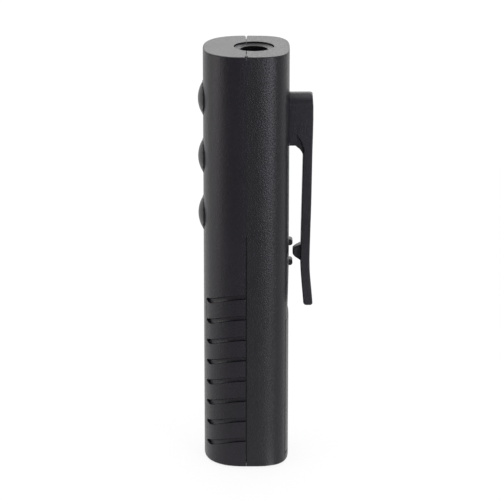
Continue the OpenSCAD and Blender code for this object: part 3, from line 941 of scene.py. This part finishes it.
lens_profile = [(0, 0), (1.8, 0), (1.8, 0.85), (1.68, 1.0), (lens_round, 1.0)]
lens_profile.append((lens_round, lens_shoulder))
for step in range(1, lens_steps):
    swing = math.pi / 2 * step / lens_steps
    lens_profile.append((lens_round * math.cos(swing), lens_shoulder + lens_round * math.sin(swing)))
lens_profile.append((0, lens_shoulder + lens_round))
lens = turned(lens_profile, sides=48)
cut(lens, block((-2, flange_flat), (-2, 2), (-0.2, 1.2)))
cup_profile = [(0, 0.5), (0.35, 0.5), (0.35, 1.5), (0.7, 2.3), (0.6, 2.3), (0.42, 1.9), (0, 1.9)]
cup = turned(cup_profile, -0.2, 0, 32)
post = block((0.62, 0.92), (-0.22, 0.22), (0.5, 2.5))
bevelled(post, post_edge_round, 2, lambda edge: middle(edge).z > 2.4)
frame_pair = joined([cup, post])
stamped_frames = []
tints = {"ultraviolet": (0.75, 0.7, 0.95), "white": (0.95, 0.94, 0.8), "infrared": (0.5, 0.4, 0.42)}
for index, (kind, tint) in enumerate(tints.items()):
    turn = 2 * math.pi / len(tints) * index
    x, y = diode_ring * math.sin(turn), lamp_y + diode_ring * math.cos(turn)
    stamped_frames.append(shifted(copied(frame_pair), x, y, diode_low))
    resin_finish = clear_resin(kind + "_lamp_resin", tint)
    diode = shifted(copied(lens), x, y, diode_low)
    finished(diode, kind + "_lamp", "housing", "led_resin", resin_finish, "led_" + kind)
bpy.data.objects.remove(lens)
bpy.data.objects.remove(frame_pair)


def plated_metal(name, colour, roughness, streak=(1, 1, 1), worn=0.25):
    """Plated metal: rolling or turning streaks, cloudy polish and a few dull spots."""
    metal = Finish(bpy.data.materials.new(name))
    place = metal.place()
    along = metal.node("ShaderNodeVectorMath", {"operation": "MULTIPLY"}, {0: place, 1: streak})
    line = noise(metal, along, 2600, 3.0)
    dull = noise(metal, place, 240, 4.0).between(0.52, 0.75)
    sockets = {
        "Base Color": metal.mix(worn * dull, shaded(colour), shaded(colour, 0.45)),
        "Metallic": 1.0,
        "Roughness": roughness + 0.1 * (line - 0.5) + 0.18 * dull,
        "Normal": relief(metal, line, 0.002),
    }
    return skinned(metal, sockets)


tin_finish = plated_metal("tinned_lead_frame", (0.8, 0.8, 0.78), 0.28)
finished(joined(stamped_frames), "lamp_lead_frames", "housing", "plated_steel", tin_finish)

# ---------------------------------------------------------------------------------------------
# Battery: one 3 V lithium photo cell, a drawn steel can in a shrunk plastic sleeve that turns over
# both ends, with a raised button at its upper end and the bare can at its lower end.
# ---------------------------------------------------------------------------------------------
cell_y = 1.2
cell_low, cell_shoulder, cell_high = 5.05, 38.75, 39.55
bare_round = 7.2
band_low, band_high = 33.4, 37.9

can = [(0, cell_low + 0.1), (5.6, cell_low + 0.1), (5.9, cell_low), (6.6, cell_low)]
can += [(6.9, cell_low + 0.15), (7.5, cell_low + 0.15), (7.55, cell_low + 0.02)]
can += [(8.2, cell_low + 0.02), (8.5, cell_low + 0.35), (8.5, 38.1), (8.42, 38.4)]
can += [(8.15, cell_shoulder), (7.3, cell_shoulder), (7.25, 38.6), (4.0, 38.6)]
can += [(3.75, 38.85), (3.0, 38.9), (2.95, 39.4), (2.8, cell_high), (0, cell_high)]
cell = turned(can, 0, cell_y, 96)
wrap = Finish(bpy.data.materials.new("shrunk_sleeve_and_can"))
place = wrap.place()
centred = wrap.node("ShaderNodeMapping", None, {"Vector": place, "Location": (0, -cell_y * MM, 0)})
x, y, z = wrap.parted(centred)
bare = 1 - ((x * x + y * y) ** 0.5).between(bare_round * MM, (bare_round + 0.1) * MM)
scuff = noise(wrap, place, 900, 4.0)
cloud = noise(wrap, place, 120, 2.0)
band_start = z.between(band_low * MM, (band_low + 0.1) * MM)
band_end = z.between(band_high * MM, (band_high + 0.1) * MM)
sleeve = wrap.mix(band_start - band_end, (0.012, 0.03, 0.1, 1), (0.55, 0.56, 0.58, 1))
sleeve = wrap.mix(0.25 * scuff.between(0.55, 0.8), sleeve, (0.25, 0.27, 0.32, 1))
wrap_sockets = {
    "Base Color": wrap.mix(bare, sleeve, (0.72, 0.71, 0.68, 1)),
    "Metallic": bare,
    "Roughness": 0.26 + 0.14 * scuff + 0.08 * cloud,
    "Normal": relief(wrap, cloud, 0.01),
}
cell_finish = skinned(wrap, wrap_sockets)
finished(cell, "photo_battery", "housing", "cell_wrap", cell_finish, "battery_cell")

# ---------------------------------------------------------------------------------------------
# Battery spring: nickel-plated wire wound as a low cone on the negative contact. Its wide turn is
# welded to the plate, and its small turn presses on the bare end of the cell.
# ---------------------------------------------------------------------------------------------
wire_half = 0.22
wire_sides = 12
wire_steps = 40
wire_turns = 4
wire_wide, wire_narrow = 4.98, 1.6
wire_low, wire_high = 3.65 + wire_half, 5.05 - wire_half

deselect()
bpy.ops.mesh.primitive_circle_add(
    vertices=wire_sides,
    radius=wire_half * MM,
    location=(wire_wide * MM, 0, wire_low * MM),
    rotation=(math.pi / 2, 0, 0),
)
coil = bpy.context.object
bpy.ops.object.transform_apply(location=True, rotation=True, scale=True)
bpy.ops.object.modifier_add(type="SCREW")
winder = coil.modifiers[-1]
winder.axis = "Z"
winder.angle = 2 * math.pi * wire_turns
winder.screw_offset = (wire_high - wire_low) * MM
winder.steps = winder.render_steps = wire_steps * wire_turns
bpy.ops.object.modifier_apply(modifier=winder.name)
for index, corner in enumerate(coil.data.vertices):
    wound = (index // wire_sides) / (wire_steps * wire_turns)
    reach = Vector((corner.co.x, corner.co.y, 0))
    corner.co -= reach.normalized() * (wire_wide - wire_narrow) * wound * MM
pick(coil, "EDGE", lambda edge: len(edge.link_faces) == 1)
bpy.ops.mesh.fill_holes(sides=0)
bpy.ops.mesh.select_all(action="SELECT")
bpy.ops.mesh.normals_make_consistent(inside=False)
shifted(shut(coil), 0, cell_y)
nickel_finish = plated_metal("nickel_plated_spring_wire", (0.72, 0.7, 0.66), 0.24)
finished(coil, "cone_spring", "housing", "plated_steel", nickel_finish, "battery_spring")

# ---------------------------------------------------------------------------------------------
# Circuit boards: the long main board in the front case and the small round lamp board, both green
# glass laminate. Copper tracks show as low ridges under the lacquer, with tinned pads on a grid.
# ---------------------------------------------------------------------------------------------


def board_finish(name, flat_axes, thin_axis, faces):
    """Green lacquered laminate: tracks, tinned pads and a raw brown edge with glass layers."""
    board = Finish(bpy.data.materials.new(name))
    place = board.place()
    sides = board.parted(place)
    across, along = [sides[axis] for axis in flat_axes]
    thin = sides[thin_axis]
    low, high = [face * MM for face in faces]
    inner, outer = 0.1 * MM, 0.05 * MM
    edge = thin.between(low + outer, low + inner) - thin.between(high - inner, high - outer)

    def comb(value, pitch, half):
        """Lines at a pitch, each so wide to either side, in millimetres."""
        ripple = abs(value.math("PINGPONG", value, pitch / 2 * MM))
        return 1 - ripple.between(half * MM, (half + 0.06) * MM)

    patch = board.node(
        "ShaderNodeTexVoronoi", {"distance": "CHEBYCHEV"}, {"Vector": place, "Scale": 190}
    )
    tracks = comb(across, 1.1, 0.17).most(comb(along, 3.3, 0.2)) * patch.between(0.25, 0.3)
    pads = comb(across, 2.54, 0.36) * comb(along, 5.08, 0.36)
    mottle = noise(board, place, 800, 3.0)
    lacquer = board.mix(tracks, (0.012, 0.085, 0.035, 1), (0.02, 0.15, 0.06, 1))
    lacquer = board.mix(pads, lacquer, (0.7, 0.69, 0.66, 1))
    raw = board.mix(mottle, (0.2, 0.17, 0.08, 1), (0.32, 0.28, 0.15, 1))
    sockets = {
        "Base Color": board.mix(edge, lacquer, raw),
        "Metallic": pads * (1 - edge),
        "Roughness": 0.3 + 0.1 * mottle + 0.3 * edge,
        "IOR": 1.5,
        "Normal": relief(board, 0.6 * tracks + pads + 0.1 * mottle, 0.03),
    }
    return skinned(board, sockets)


def refinished(name, material):
    """Gives a piece that keeps its modelled solid its own finish."""
    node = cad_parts[name]
    node.data.materials.clear()
    node.data.materials.append(material)


main_board_faces = (-5.6, -4.6)
lamp_board_faces = (109.0, 109.95)
refinished("main_board", board_finish("long_board_laminate", (0, 2), 1, main_board_faces))
refinished("lamp_board", board_finish("round_board_laminate", (0, 1), 2, lamp_board_faces))

# ---------------------------------------------------------------------------------------------
# Parts on the main board: three push switches with their posts, the driver chip in moulded epoxy,
# the ferrite choke with its wound middle, and four small thick-film resistors.
# ---------------------------------------------------------------------------------------------


def split_finish(name, edge_y, front, back, rough, metal_back=0.0, speckle=1500):
    """Two stuffs in one part, the front and the back of a level, each faintly mottled."""
    stuff = Finish(bpy.data.materials.new(name))
    place = stuff.place()
    behind = stuff.parted(place)[1].between((edge_y - 0.01) * MM, (edge_y + 0.01) * MM)
    mottle = noise(stuff, place, speckle, 3.0)
    cloud = noise(stuff, place, speckle / 6, 2.0)
    tone = (0.6 * mottle + 0.4 * cloud).between(0.3, 0.7)
    front_colour = stuff.mix(tone, shaded(front, 0.75), shaded(front))
    back_colour = stuff.mix(tone, shaded(back, 0.8), shaded(back))
    sockets = {
        "Base Color": stuff.mix(behind, front_colour, back_colour),
        "Metallic": metal_back * behind,
        "Roughness": rough + 0.14 * (mottle - 0.5) + 0.08 * (cloud - 0.5),
        "Normal": relief(stuff, mottle, 0.008),
    }
    return skinned(stuff, sockets)


black_base, bright_cover, lead_tin = (0.014, 0.014, 0.015), (0.75, 0.75, 0.74), (0.7, 0.7, 0.69)
acetal = (0.6, 0.59, 0.54)
ferrite, winding = (0.03, 0.03, 0.032), (0.05, 0.045, 0.045)
end_cap, glaze = (0.72, 0.71, 0.69), (0.02, 0.022, 0.03)
cover_y, lead_y, cap_y, none_y = -6.3, -4.4, -4.2, -20.0

switch_finish = split_finish("switch_cover_and_base", cover_y, bright_cover, black_base, 0.35)
post_finish = split_finish("natural_acetal_post", none_y, acetal, acetal, 0.42, speckle=700)
for where in ("top", "middle", "bottom"):
    refinished("switch_" + where, switch_finish)
    refinished("plunger_" + where, post_finish)
refinished("driver_chip", split_finish("chip_epoxy", lead_y, black_base, lead_tin, 0.5, 1.0, 2400))
refinished("inductor", split_finish("ferrite_choke", cap_y, ferrite, winding, 0.55))
refinished("resistors", split_finish("thick_film_resistor", cap_y, end_cap, glaze, 0.4))

# ---------------------------------------------------------------------------------------------
# Battery cradle: a black moulded trough that holds the cell, with bent nickel-plated contacts at
# its ends. Zinc-plated screws hold the main board to its bosses and the clip to the rear case.
# ---------------------------------------------------------------------------------------------
refinished("battery_cradle", moulded_plastic("cradle_black_plastic", 0.01, 0.5, 0.02, 1.42))
strip_finish = plated_metal("nickel_plated_strip", (0.74, 0.71, 0.66), 0.3, (1, 1, 0.08))
refinished("positive_contact", strip_finish)
refinished("negative_contact", strip_finish)
zinc_finish = plated_metal("zinc_plated_screw", (0.66, 0.67, 0.7), 0.34, (1, 0.2, 1), 0.5)
refinished("board_screws", zinc_finish)
refinished("clip_screws", zinc_finish)
